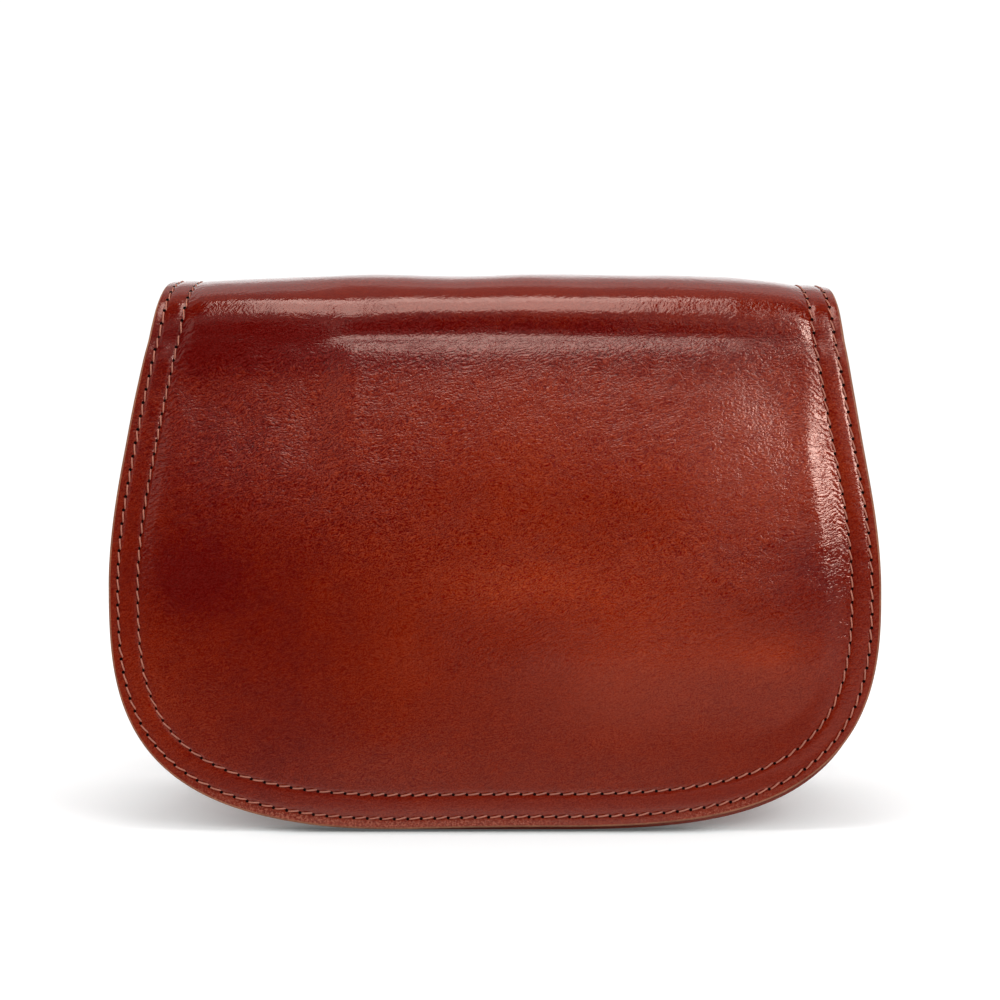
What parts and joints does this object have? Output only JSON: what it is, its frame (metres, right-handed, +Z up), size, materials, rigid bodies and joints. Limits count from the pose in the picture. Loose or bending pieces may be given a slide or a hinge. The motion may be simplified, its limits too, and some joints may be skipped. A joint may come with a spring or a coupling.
{
  "type": "crossbody bag",
  "caption": "Saddle-flap crossbody bag of glossy brown leather: one hide forms the back, rounded top and full front flap over a gusseted pouch with side rings for a strap.",
  "frame": {"origin": "on the floor, under the middle of the bag's bounding box", "axes": "+X to the right seen from the front, +Y from the flap towards the back, +Z up"},
  "size_m": [0.2612, 0.0828, 0.1862],
  "materials": {
    "hide_leather": "glossy, cognac to oxblood, lightly creased",
    "body_leather": "satin",
    "tab_leather": "satin",
    "thread": "waxed sewing thread",
    "ring_brass": "polished",
    "snap_brass": "satin"
  },
  "bodies": {
    "root": {"back_and_flap": "hide_leather", "front_panel": "body_leather", "gusset": "body_leather", "strap_tab_left": "tab_leather", "strap_tab_right": "tab_leather", "strap_ring_left": "ring_brass", "strap_ring_right": "ring_brass", "magnetic_snap": "snap_brass"}
  },
  "joints": []
}
